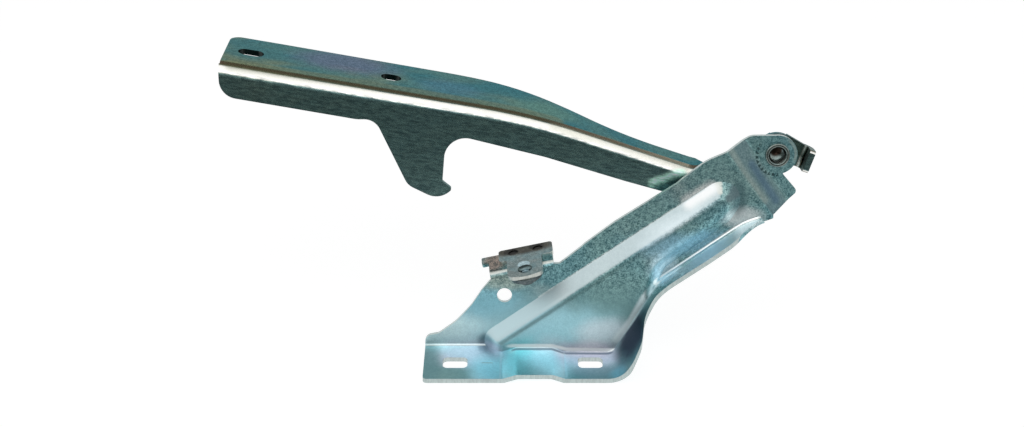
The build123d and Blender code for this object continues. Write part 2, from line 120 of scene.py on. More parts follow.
@dataclass
class Graph:
    """Builds the nodes of one tree and wires them."""

    tree: bpy.types.NodeTree
    column: int = 0

    def node(self, kind: str, **settings: object) -> bpy.types.Node:
        """Adds a node and sets its properties.

        Args:
            kind: the node's class name.
            **settings: attributes of the node, by name.

        Returns:
            The new node.
        """
        made = self.tree.nodes.new(kind)
        made.location = (self.column, 0)
        self.column += NODE_GAP
        for name, value in settings.items():
            setattr(made, name, value)
        return made

    def put(self, target: Socket, value: object) -> None:
        """Wires an input if the value is a socket, and otherwise sets it.

        Args:
            target: the input to fill.
            value: a socket, a number or a tuple.
        """
        if isinstance(value, Socket):
            self.tree.links.new(value, target)
        elif isinstance(value, tuple) and len(value) == 3 and len(target.default_value) == 4:
            target.default_value = (*value, 1.0)
        else:
            target.default_value = value

    def maths(self, operation: str, *values: object, clamp: bool = False) -> Socket:
        """One Math node.

        Args:
            operation: the node's operation.
            *values: its inputs, sockets or numbers.
            clamp: whether the result stays between 0 and 1.

        Returns:
            The result's socket.
        """
        made = self.node("ShaderNodeMath", operation=operation, use_clamp=clamp)
        for socket, value in zip(made.inputs, values):
            self.put(socket, value)
        return made.outputs[0]

    def total(self, one: object, other: object) -> Socket:
        """Sum of two values."""
        return self.maths("ADD", one, other)

    def less(self, one: object, other: object) -> Socket:
        """One value less another."""
        return self.maths("SUBTRACT", one, other)

    def opposite(self, mask: object) -> Socket:
        """Mask that is 1 where another is 0, and 0 where it is 1."""
        return self.maths("SUBTRACT", 1.0, mask)

    def product(self, first: object, *others: object) -> Socket:
        """Product of two or more values."""
        for other in others:
            first = self.maths("MULTIPLY", first, other)
        return first

    def vector(self, operation: str, *values: object) -> Socket:
        """One Vector Math node; a dot product and a length come out as numbers.

        Args:
            operation: the node's operation.
            *values: its inputs, sockets or tuples.

        Returns:
            The result's socket.
        """
        made = self.node("ShaderNodeVectorMath", operation=operation)
        for socket, value in zip(made.inputs, values):
            self.put(socket, value)
        return made.outputs["Value" if operation in ("DOT_PRODUCT", "LENGTH") else "Vector"]

    def scaled(self, vector: object, factor: object) -> Socket:
        """A vector times a number.

        Args:
            vector: the vector.
            factor: the number.

        Returns:
            The longer or shorter vector's socket.
        """
        made = self.node("ShaderNodeVectorMath", operation="SCALE")
        self.put(made.inputs[0], vector)
        self.put(made.inputs["Scale"], factor)
        return made.outputs["Vector"]

    def ramp(self, value: object, low: object, high: object, smooth: bool = True) -> Socket:
        """Maps a value from low..high to 0..1, kept inside.

        Args:
            value: the value that is mapped.
            low: value that becomes 0.
            high: value that becomes 1.
            smooth: whether the step has soft ends.

        Returns:
            The mapped value's socket.
        """
        step = "SMOOTHSTEP" if smooth else "LINEAR"
        made = self.node("ShaderNodeMapRange", interpolation_type=step, clamp=True)
        for name, given in (("Value", value), ("From Min", low), ("From Max", high)):
            self.put(made.inputs[name], given)
        return made.outputs["Result"]

    def window(
        self, value: object, start: object, full: object, fade: object, end: object
    ) -> Socket:
        """Mask of a range of values: it rises from start to full and falls from fade to end."""
        falling = self.ramp(value, fade, end)
        return self.product(self.ramp(value, start, full), self.opposite(falling))

    def mix(self, mask: object, low: object, high: object, blend: str = "MIX") -> Socket:
        """Mixes two colours by a mask.

        Args:
            mask: 0 shows the first colour, 1 the second.
            low: the first colour.
            high: the second colour.
            blend: the blend type.

        Returns:
            The mixed colour's socket.
        """
        made = self.node("ShaderNodeMix", data_type="RGBA", blend_type=blend, clamp_factor=True)
        factor, first, second = made.inputs[0], made.inputs[6], made.inputs[7]
        for socket, value in ((factor, mask), (first, low), (second, high)):
            self.put(socket, value)
        return made.outputs[2]

    def noise(
        self,
        place: object,
        scale: object,
        detail: float = 2.0,
        rough: float = 0.55,
        output: str = "Fac",
    ) -> Socket:
        """Noise over coordinates in metres.

        Args:
            place: the coordinates.
            scale: cells to the metre.
            detail: octaves.
            rough: how strong the fine octaves are.
            output: name of the output that is read.

        Returns:
            The output's socket.
        """
        made = self.node("ShaderNodeTexNoise", noise_dimensions="3D")
        inputs = {"Vector": place, "Scale": scale, "Detail": detail, "Roughness": rough}
        for name, value in inputs.items():
            self.put(made.inputs[name], value)
        return made.outputs[output]

    def close(self, shader: bpy.types.Node, kind: str = "ShaderNodeOutputMaterial") -> None:
        """Wires a shader to the tree's output."""
        self.put(self.node(kind).inputs["Surface"], shader.outputs[0])


def cleared(owner: bpy.types.Material | bpy.types.World) -> Graph:
    """Empties the nodes of a material or world and starts its graph.

    Args:
        owner: the material or world.

    Returns:
        The graph.
    """
    owner.use_nodes = True
    owner.node_tree.nodes.clear()
    return Graph(owner.node_tree)


def new_group(
    name: str, takes: dict[str, Kind], gives: dict[str, Kind]
) -> tuple[Graph, dict[str, Socket], dict[str, Socket]]:
    """Starts a shader node group with named inputs and outputs.

    Args:
        name: the group's name.
        takes: kind of each input, by name; a finish fills them all.
        gives: kind of each output, by name.

    Returns:
        The graph, what the group is given, and the sockets that it has to fill.
    """
    tree = bpy.data.node_groups.new(name, "ShaderNodeTree")
    for way, sockets in (("INPUT", takes), ("OUTPUT", gives)):
        for label, kind in sockets.items():
            tree.interface.new_socket(name=label, in_out=way, socket_type=kind.value)
    graph = Graph(tree)
    source, sink = graph.node("NodeGroupInput"), graph.node("NodeGroupOutput")
    given = {label: source.outputs[label] for label in takes}
    return graph, given, {label: sink.inputs[label] for label in gives}


def grain_group() -> bpy.types.NodeTree:
    """Mottle of zinc plate: grains of about a millimetre, finer specks and sparse pits.

    Two noises of different size are added and stretched to 0..1. Pits are the
    lowest values of a third one.

    Returns:
        The node group.
    """
    takes = {"Place": Kind.VECTOR}
    graph, given, out = new_group("Zinc grain", takes, {"Grain": Kind.FLOAT, "Pits": Kind.FLOAT})
    place = given["Place"]
    fine = graph.noise(place, scale=1150.0, rough=0.6)
    broad = graph.noise(place, scale=430.0, rough=0.5)
    fine_share = 0.62
    both = graph.total(graph.product(fine, fine_share), graph.product(broad, 1.0 - fine_share))
    graph.put(out["Grain"], graph.ramp(both, 0.40, 0.62, smooth=False))
    elsewhere = graph.vector("ADD", place, (2.3, 4.1, 1.9))
    sparse = graph.noise(elsewhere, scale=610.0, detail=1.0)
    graph.put(out["Pits"], graph.opposite(graph.ramp(sparse, 0.24, 0.30)))
    return graph.tree


def film_group() -> bpy.types.NodeTree:
    """Passivation film: one tint that flows into another over centimetres.

    The place is bent by a coarse noise and read by two others: one says how
    strong the film is, and the other which of its two tints shows.

    Returns:
        The node group.
    """
    takes = {
        "Place": Kind.VECTOR,
        "Metal": Kind.COLOUR,
        "Cool": Kind.COLOUR,
        "Warm": Kind.COLOUR,
        "Strength": Kind.FLOAT,
        "Scale": Kind.FLOAT,
    }
    graph, given, out = new_group("Passivation film", takes, {"Colour": Kind.COLOUR})
    bend = graph.noise(given["Place"], scale=9.0, rough=0.5, output="Color")
    bend_reach = 0.06
    bent = graph.vector("ADD", given["Place"], graph.scaled(bend, bend_reach))
    amount = graph.noise(bent, given["Scale"], rough=0.5)
    which = graph.noise(graph.vector("ADD", bent, (3.1, 1.7, 5.3)), scale=21.0)
    film = graph.mix(graph.ramp(which, 0.50, 0.68), given["Cool"], given["Warm"])
    mask = graph.product(graph.ramp(amount, 0.35, 0.65), given["Strength"])
    graph.put(out["Colour"], graph.mix(mask, given["Metal"], film))
    return graph.tree


def patch_group() -> bpy.types.NodeTree:
    """Mask of one patch: 1 inside an ellipsoid, soft and uneven at its rim.

    The distance from the centre, each axis divided by its own half size, has a
    noise added before it is compared with 1.

    Returns:
        The node group.
    """
    takes = {
        "Place": Kind.VECTOR,
        "Centre": Kind.VECTOR,
        "Half size": Kind.VECTOR,
        "Raggedness": Kind.FLOAT,
        "Softness": Kind.FLOAT,
    }
    graph, given, out = new_group("Patch", takes, {"Mask": Kind.FLOAT})
    away = graph.vector("SUBTRACT", given["Place"], given["Centre"])
    distance = graph.vector("LENGTH", graph.vector("DIVIDE", away, given["Half size"]))
    ragged = graph.less(graph.noise(given["Place"], scale=110.0, detail=4.0, rough=0.6), 0.5)
    uneven = graph.total(distance, graph.product(ragged, given["Raggedness"]))
    low = graph.less(1.0, given["Softness"])
    high = graph.total(1.0, given["Softness"])
    graph.put(out["Mask"], graph.opposite(graph.ramp(uneven, low, high)))
    return graph.tree


def crease_group() -> bpy.types.NodeTree:
    """Mask of a narrow line between two points, soft at its sides and round its ends.

    The place is dropped onto the line: its share along it, kept between 0 and 1,
    gives the nearest point. The distance to that point, which a noise makes a
    little uneven, is compared with the half width.

    Returns:
        The node group.
    """
    takes = {
        "Place": Kind.VECTOR,
        "Start": Kind.VECTOR,
        "End": Kind.VECTOR,
        "Half width": Kind.FLOAT,
        "Softness": Kind.FLOAT,
    }
    graph, given, out = new_group("Crease", takes, {"Mask": Kind.FLOAT})
    run = graph.vector("SUBTRACT", given["End"], given["Start"])
    away = graph.vector("SUBTRACT", given["Place"], given["Start"])
    along = graph.vector("DOT_PRODUCT", away, run)
    share = graph.maths("DIVIDE", along, graph.vector("DOT_PRODUCT", run, run), clamp=True)
    gap = graph.vector("SUBTRACT", away, graph.scaled(run, share))
    distance = graph.vector("LENGTH", gap)
    waver_reach = 0.0004
    waver = graph.less(graph.noise(given["Place"], scale=160.0), 0.5)
    uneven = graph.total(distance, graph.product(waver, waver_reach))
    half = given["Half width"]
    outside = graph.ramp(uneven, half, graph.total(half, given["Softness"]))
    graph.put(out["Mask"], graph.opposite(outside))
    return graph.tree


def facing_group() -> bpy.types.NodeTree:
    """Mask of the faces that look about one way.

    The normal's share along the direction is compared with two values: the mask
    rises from Low to Low plus Soft, and falls from High to High plus Soft.

    Returns:
        The node group.
    """
    takes = {
        "Normal": Kind.VECTOR,
        "Direction": Kind.VECTOR,
        "Low": Kind.FLOAT,
        "High": Kind.FLOAT,
        "Soft": Kind.FLOAT,
    }
    graph, given, out = new_group("Facing", takes, {"Mask": Kind.FLOAT})
    along = graph.vector("DOT_PRODUCT", given["Normal"], given["Direction"])
    low, high, soft = given["Low"], given["High"], given["Soft"]
    mask = graph.window(along, low, graph.total(low, soft), high, graph.total(high, soft))
    graph.put(out["Mask"], mask)
    return graph.tree


def cut_edge_group() -> bpy.types.NodeTree:
    """Mask of a sheet's cut edge: the faces that stand square to the sheet, with shear lines.

    A face is an edge where its normal has almost no share along the sheet's own
    normal. A noise that is long across the sheet gives the sheared metal its lines.

    Returns:
        The node group.
    """
    takes = {
        "Place": Kind.VECTOR,
        "Normal": Kind.VECTOR,
        "Sheet": Kind.VECTOR,
        "Tolerance": Kind.FLOAT,
    }
    graph, given, out = new_group("Cut edge", takes, {"Mask": Kind.FLOAT, "Lines": Kind.FLOAT})
    slant = graph.maths("ABSOLUTE", graph.vector("DOT_PRODUCT", given["Normal"], given["Sheet"]))
    tolerance, softness = given["Tolerance"], 0.03
    slanting = graph.ramp(slant, tolerance, graph.total(tolerance, softness))
    graph.put(out["Mask"], graph.opposite(slanting))
    through = graph.vector("PROJECT", given["Place"], given["Sheet"])
    rest = graph.vector("SUBTRACT", given["Place"], through)
    squeeze = 0.25
    squeezed = graph.vector("ADD", rest, graph.scaled(through, squeeze))
    graph.put(out["Lines"], graph.ramp(graph.noise(squeezed, scale=900.0), 0.35, 0.65))
    return graph.tree


def streak_group() -> bpy.types.NodeTree:
    """Rolling and handling streaks: a noise that is long one way and fine across it.

    Most of the place's share along the streaks is taken off before the noise
    reads it, so that its cells are long that way.

    Returns:
        The node group.
    """
    takes = {
        "Place": Kind.VECTOR,
        "Along": Kind.VECTOR,
        "Scale": Kind.FLOAT,
    }
    graph, given, out = new_group("Streaks", takes, {"Streaks": Kind.FLOAT})
    along = graph.vector("PROJECT", given["Place"], given["Along"])
    taken_off = 0.80
    squeezed = graph.vector("SUBTRACT", given["Place"], graph.scaled(along, taken_off))
    lines = graph.noise(squeezed, given["Scale"], detail=4.0, rough=0.5)
    graph.put(out["Streaks"], graph.ramp(lines, 0.32, 0.68))
    return graph.tree


def staking_group() -> bpy.types.NodeTree:
    """Marks round the pivot: an arc of small burrs, and a bright crescent opposite.

    The place is turned into a radius and an angle about the pivot. Burrs are
    teeth of the angle that widen with the radius, inside one ring and arc. The
    crescent is a second ring, soft at its ends.

    Returns:
        The node group.
    """
    takes = {"Place": Kind.VECTOR}
    gives = {"Burrs": Kind.FLOAT, "Crescent": Kind.FLOAT}
    graph, given, out = new_group("Staking marks", takes, gives)
    away = graph.vector("SUBTRACT", given["Place"], plate_point(PIVOT_ALONG, PIVOT_UP))
    across = graph.vector("DOT_PRODUCT", away, (1.0, 0.0, 0.0))
    up = graph.vector("DOT_PRODUCT", away, PLATE_UP)
    squares = graph.total(graph.product(across, across), graph.product(up, up))
    radius = graph.maths("SQRT", squares)
    left_turn = graph.maths("ARCTAN2", graph.product(up, -1.0), graph.product(across, -1.0))
    right_turn = graph.maths("ARCTAN2", up, across)

    unevenness, tooth_width, tooth_softness = 0.9, 0.42, 0.06
    ragged = graph.less(graph.noise(given["Place"], scale=700.0), 0.5)
    teeth = graph.total(
        graph.product(left_turn, BURRS_PER_RADIAN), graph.product(ragged, unevenness)
    )
    off_tooth = graph.maths("ABSOLUTE", graph.less(graph.maths("FRACT", teeth), 0.5))
    widening = graph.ramp(radius, BURR_RING[0], BURR_RING[3], smooth=False)
    inside = graph.less(graph.product(widening, tooth_width), off_tooth)
    tooth = graph.ramp(inside, -tooth_softness, tooth_softness)
    ring, arc = graph.window(radius, *BURR_RING), graph.window(left_turn, *BURR_ARC)
    graph.put(out["Burrs"], graph.product(tooth, ring, arc))

    ring, arc = graph.window(radius, *CRESCENT_RING), graph.window(right_turn, *CRESCENT_ARC)
    graph.put(out["Crescent"], graph.product(ring, arc))
    return graph.tree


def turns_group() -> bpy.types.NodeTree:
    """Height of a screw thread: a wave along the axis that climbs one pitch in a full turn.

    The wave's phase is the distance along the axis over the pitch, plus the
    share of a turn about the axis.

    Returns:
        The node group.
    """
    takes = {
        "Place": Kind.VECTOR,
        "Centre": Kind.VECTOR,
        "Axis": Kind.VECTOR,
        "Across": Kind.VECTOR,
        "Square": Kind.VECTOR,
        "Pitch": Kind.FLOAT,
    }
    graph, given, out = new_group("Thread turns", takes, {"Height": Kind.FLOAT})
    away = graph.vector("SUBTRACT", given["Place"], given["Centre"])
    rise, across, square = (
        graph.vector("DOT_PRODUCT", away, given[name]) for name in ("Axis", "Across", "Square")
    )
    full_turn = 2.0 * pi
    climb = graph.maths("DIVIDE", rise, given["Pitch"])
    turn = graph.maths("DIVIDE", graph.maths("ARCTAN2", square, across), full_turn)
    wave = graph.maths("SINE", graph.product(graph.total(climb, turn), full_turn))
    graph.put(out["Height"], graph.total(0.5, graph.product(wave, 0.5)))
    return graph.tree


@dataclass(frozen=True)
class Patch:
    """A local tint inside an ellipsoid of the row frame, in metres, or on its faces of one way; many
    are painted highlights, reflections and shade.
    """

    centre: Point
    half_size: Point
    colour: ScreenColour
    strength: float = 0.8
    ragged: float = 0.5
    soft: float = 0.5
    roughness: float | None = None
    calm: float = 0.0
    facing: Point | None = None


@dataclass(frozen=True)
class Crease:
    """A narrow tint along a broken line of the row frame, used for painted highlights along folds and
    for lines of painted shade.
    """

    points: tuple[Point, ...]
    half_width: float
    colour: ScreenColour
    strength: float = 0.8
    soft: float = 0.001
    roughness: float | None = None
    calm: float = 0.0


@dataclass(frozen=True)
class Band:
    """A tint of the faces whose normal has a share between two values along a direction: painted
    light and shade by the way the faces look.
    """

    direction: Point
    low: float
    colour: ScreenColour
    high: float = NO_LIMIT
    soft: float = 0.1
    strength: float = 0.8
    roughness: float | None = None
    calm: float = 0.0


@dataclass(frozen=True)
class SheetEdge:
    """Bare sheared edges of a sheet, by the sheet's normal, past a start along one side."""

    sheet: Point
    tolerance: float = 0.04
    side: Point = (0.0, 0.0, 1.0)
    start: float = -1.0


@dataclass
class Surface:
    """Colour, roughness, relief and grain of a finish while it is put together."""

    graph: Graph
    groups: Groups
    place: Socket
    normal: Socket
    rough: object
    colour: object = WHITE
    height: object = 0.0
    grainy: object = 1.0

    def read(self, group: str, inputs: Inputs | None = None) -> dict[str, Socket]:
        """Places a shared group and fills its inputs, the place and the normal among them.

        Args:
            group: the group's name.
            inputs: sockets or values, by the input's name.

        Returns:
            The group's outputs, by name.
        """
        made = self.graph.node("ShaderNodeGroup", node_tree=self.groups[group])
        for name, value in {"Place": self.place, "Normal": self.normal, **(inputs or {})}.items():
            if name in made.inputs:
                self.graph.put(made.inputs[name], value)
        return {socket.name: socket for socket in made.outputs}

    def looking(self, direction: Point, low: float, high: float, soft: float) -> Socket:
        """Mask of the faces that look about one way, as the facing group gives it."""
        inputs = {"Direction": direction, "Low": low, "High": high, "Soft": soft}
        return self.read("facing", inputs)["Mask"]

    def tint(
        self, mask: object, colour: object, roughness: float | None = None, calm: float = 0.0
    ) -> None:
        """Lays a colour, and a roughness if one is given, over the finish by a mask.

        Args:
            mask: the socket of the mask.
            colour: the colour that is laid over, linear.
            roughness: the roughness there, or None to keep what is below.
            calm: how much of the grain is gone there.
        """
        graph = self.graph
        if calm > 0.0:
            self.grainy = graph.product(self.grainy, graph.opposite(graph.product(mask, calm)))
        self.colour = graph.mix(mask, self.colour, colour)
        if roughness is not None:
            change = graph.less(roughness, self.rough)
            self.rough = graph.total(self.rough, graph.product(change, mask))

    def multiply(self, strength: object, tone: object) -> None:
        """Multiplies the colour by a tone; strength says how much of it counts."""
        eased = self.graph.mix(strength, WHITE, tone)
        self.colour = self.graph.mix(1.0, self.colour, eased, blend="MULTIPLY")

    def polish(self, amount: object, share: float) -> None:
        """Takes a share of a value off the roughness."""
        self.rough = self.graph.less(self.rough, self.graph.product(amount, share))

    def raise_by(self, amount: object, share: float) -> None:
        """Adds a share of a value to the relief; a negative share sinks the surface."""
        self.height = self.graph.total(self.height, self.graph.product(amount, share))


@dataclass(frozen=True)
class SteelFinish:
    """Zinc-plated steel: a passivation film, local tints, grain and bare sheared edges.

    The film, patches, bands and creases give the colour. The bands and creases, and
    many patches, are painted highlights, reflections and shade. The grain multiplies
    the colour, between a dark and a light tone, and marks and sheared edges come last.
    Patches that keep to faces of one way lie over the bands, the others under
    them. The rim colours what the metal reflects at a grazing angle.
    """

    name: str
    metal: ScreenColour
    cool: ScreenColour
    warm: ScreenColour
    film_strength: float = 0.7
    film_scale: float = 16.0
    film_stretch: Point = (1.0, 1.0, 1.0)
    grain: float = 0.4
    grain_least: float = 1.0
    grain_rise: tuple[float, float] = (0.032, 0.058)
    grain_relief: float = 0.5
    grain_gloss: float = 0.14
    dark_grain: Colour = (0.42, 0.50, 0.52)
    light_grain: Colour = (1.74, 1.58, 1.52)
    pits: float = 0.4
    roughness: float = 0.4
    relief: float = 0.25
    bands: tuple[Band, ...] = ()
    patches: tuple[Patch, ...] = ()
    creases: tuple[Crease, ...] = ()
    edges: tuple[SheetEdge, ...] = ()
    edge_colour: ScreenColour = (188, 196, 188)
    edge_lines: float = 0.84
    edge_strength: float = 0.92
    edge_roughness: float = 0.42
    rim: Colour = WHITE

    def material(self, groups: Groups) -> bpy.types.Material:
        """Builds the material.

        Args:
            groups: the shared node groups, by name.

        Returns:
            The material.
        """
        made = bpy.data.materials.new(self.name)
        graph = cleared(made)
        read = graph.node("ShaderNodeTexCoord").outputs
        surface = Surface(graph, groups, read["Object"], read["Normal"], self.roughness)
        self.lay_film(surface)
        self.lay_patches(surface, faced=False)
        self.lay_bands(surface)
        self.lay_patches(surface, faced=True)
        self.lay_creases(surface)
        self.lay_grain(surface)
        self.lay_marks(surface)
        self.lay_edges(surface)
        bump = graph.node("ShaderNodeBump")
        bump.inputs["Strength"].default_value = self.relief
        bump.inputs["Distance"].default_value = BUMP_HEIGHT
        graph.put(bump.inputs["Height"], surface.height)
        shader = graph.node("ShaderNodeBsdfPrincipled")
        shader.inputs["Metallic"].default_value = 1.0
        shader.inputs["Specular Tint"].default_value = (*self.rim, 1.0)
        graph.put(shader.inputs["Base Color"], surface.colour)
        graph.put(shader.inputs["Roughness"], surface.rough)
        graph.put(shader.inputs["Normal"], bump.outputs["Normal"])
        graph.close(shader)
        return made

    def lay_film(self, surface: Surface) -> None:
        """Gives the metal the colour of its passivation film.

        Args:
            surface: the finish so far.
        """
        inputs = {
            "Place": surface.graph.vector("DIVIDE", surface.place, self.film_stretch),
            "Metal": screen(self.metal),
            "Cool": screen(self.cool),
            "Warm": screen(self.warm),
            "Strength": self.film_strength,
            "Scale": self.film_scale,
        }
        surface.colour = surface.read("film", inputs)["Colour"]

    def lay_bands(self, surface: Surface) -> None:
        """Paints light and shade onto the faces that look the bands' ways.

        Args:
            surface: the finish so far.
        """
        for band in self.bands:
            mask = surface.looking(band.direction, band.low, band.high, band.soft)
            share = surface.graph.product(mask, band.strength)
            surface.tint(share, screen(band.colour), band.roughness, band.calm)

    def lay_patches(self, surface: Surface, faced: bool) -> None:
        """Tints the places of the patches.

        Args:
            surface: the finish so far.
            faced: whether the patches that keep to faces of one way are laid, or the others.
        """
        for patch in self.patches:
            if (patch.facing is not None) != faced:
                continue
            inputs = {
                "Centre": patch.centre,
                "Half size": patch.half_size,
                "Raggedness": patch.ragged,
                "Softness": patch.soft,
            }
            share = surface.graph.product(surface.read("patch", inputs)["Mask"], patch.strength)
            if patch.facing is not None:
                mask = surface.looking(patch.facing, low=0.3, high=NO_LIMIT, soft=0.3)
                share = surface.graph.product(share, mask)
            surface.tint(share, screen(patch.colour), patch.roughness, patch.calm)

    def lay_creases(self, surface: Surface) -> None:
        """Tints the broken lines of the creases; their runs are joined by the larger mask.

        Args:
            surface: the finish so far.
        """
        for crease in self.creases:
            mask: object = 0.0
            for start, end in zip(crease.points, crease.points[1:]):
                inputs = {
                    "Start": start,
                    "End": end,
                    "Half width": crease.half_width,
                    "Softness": crease.soft,
                }
                run = surface.read("crease", inputs)["Mask"]
                mask = surface.graph.maths("MAXIMUM", mask, run)
            share = surface.graph.product(mask, crease.strength)
            surface.tint(share, screen(crease.colour), crease.roughness, crease.calm)

    def lay_grain(self, surface: Surface) -> None:
        """Multiplies the colour by the grain and darkens the pits.

        The grain's strength goes from its least share to all of it up the plate.

        Args:
            surface: the finish so far.
        """
        graph = surface.graph
        grain = surface.read("grain")
        strength = graph.product(surface.grainy, self.grain)
        if self.grain_least < 1.0:
            up = graph.ramp(graph.vector("DOT_PRODUCT", surface.place, PLATE_UP), *self.grain_rise)
            share = graph.total(self.grain_least, graph.product(up, 1.0 - self.grain_least))
            strength = graph.product(share, strength)
        lift = graph.product(graph.less(grain["Grain"], 0.5), strength)
        surface.polish(lift, self.grain_gloss)
        surface.raise_by(lift, self.grain_relief)
        surface.multiply(strength, graph.mix(grain["Grain"], self.dark_grain, self.light_grain))
        surface.tint(graph.product(grain["Pits"], self.pits, strength), PIT_COLOUR)
        surface.raise_by(grain["Pits"], -self.grain_relief * self.pits)

    def lay_marks(self, surface: Surface) -> None:
        """Adds the marks that only one piece has; a plain finish has none."""

    def lay_edges(self, surface: Surface) -> None:
        """Bares the sheared edges.

        Args:
            surface: the finish so far.
        """
        graph = surface.graph
        bright = screen(self.edge_colour)
        dim = tuple(self.edge_lines * value for value in bright)
        for edge in self.edges:
            cut = surface.read("edge", {"Sheet": edge.sheet, "Tolerance": edge.tolerance})
            side = graph.vector("DOT_PRODUCT", surface.place, edge.side)
            within = graph.ramp(side, edge.start, edge.start + EDGE_START)
            mask = graph.product(cut["Mask"], within, self.edge_strength)
            surface.tint(mask, graph.mix(cut["Lines"], dim, bright), self.edge_roughness)


@dataclass(frozen=True)
class BracketFinish(SteelFinish):
    """The bracket's finish, with the staking marks round the pivot."""

    crescent_colour: ScreenColour = (176, 200, 196)
    crescent_strength: float = 0.8
    crescent_roughness: float = 0.3
    burr_colour: ScreenColour = (40, 62, 64)
    burr_strength: float = 0.85
    burr_roughness: float = 0.5
    burr_relief: float = 1.2

    def lay_marks(self, surface: Surface) -> None:
        """Adds the arc of burrs and the bright crescent to the ear.

        Args:
            surface: the finish so far.
        """
        marks = surface.read("staking")
        crescent = surface.graph.product(marks["Crescent"], self.crescent_strength)
        surface.tint(crescent, screen(self.crescent_colour), self.crescent_roughness)
        burrs = surface.graph.product(marks["Burrs"], self.burr_strength)
        surface.tint(burrs, screen(self.burr_colour), self.burr_roughness)
        surface.raise_by(marks["Burrs"], self.burr_relief)


@dataclass(frozen=True)
class ArmFinish(SteelFinish):
    """The arm's finish, with rolling streaks along its web."""

    streaks: float = 0.85
    streak_scale: float = 900.0
    streak_gloss: float = 0.06
    dark_streak: Colour = (0.62, 0.65, 0.67)
    light_streak: Colour = (1.80, 1.76, 1.72)

    def lay_marks(self, surface: Surface) -> None:
        """Adds the streaks, between a dark tone and a light one that is smoother.

        Args:
            surface: the finish so far.
        """
        graph = surface.graph
        inputs = {"Along": ARM_ALONG, "Scale": self.streak_scale}
        lines = surface.read("streaks", inputs)["Streaks"]
        web = surface.looking(PLATE_FRONT, low=0.88, high=NO_LIMIT, soft=0.1)
        tone = graph.mix(lines, self.dark_streak, self.light_streak)
        surface.multiply(graph.product(web, self.streaks), tone)
        surface.polish(lines, self.streak_gloss)


@dataclass(frozen=True)
class NutFinish(SteelFinish):
    """The weld nut's finish, with the turns of its thread and a painted highlight in its bore."""

    centre: Point = (0.0020, 0.0280, 0.0510)
    pitch: float = 0.00125
    bore_inside: float = 0.0036
    bore_outside: float = 0.0040
    # Painted highlight in the bore: its colour and how much of it is laid.
    bore_highlight_colour: ScreenColour = (170, 196, 204)
    bore_highlight_strength: float = 0.7
    thread_relief: float = 4.0

    def lay_marks(self, surface: Surface) -> None:
        """Paints a highlight into the bore and raises the thread's turns in it.

        The bore is what lies near the axis.

        Args:
            surface: the finish so far.
        """
        graph = surface.graph
        axis = Vector(NUT_PLATE_UP).normalized()
        across = axis.cross(Vector((0.0, 1.0, 0.0))).normalized()
        inputs = {
            "Centre": self.centre,
            "Axis": tuple(axis),
            "Across": tuple(across),
            "Square": tuple(axis.cross(across)),
            "Pitch": self.pitch,
        }
        turns = surface.read("turns", inputs)["Height"]
        away = graph.vector("SUBTRACT", surface.place, self.centre)
        radius = graph.vector("LENGTH", graph.vector("CROSS_PRODUCT", away, tuple(axis)))
        bore = graph.opposite(graph.ramp(radius, self.bore_inside, self.bore_outside))
        surface.tint(graph.product(bore, self.bore_highlight_strength), screen(self.bore_highlight_colour))
        surface.raise_by(graph.product(turns, bore), self.thread_relief)


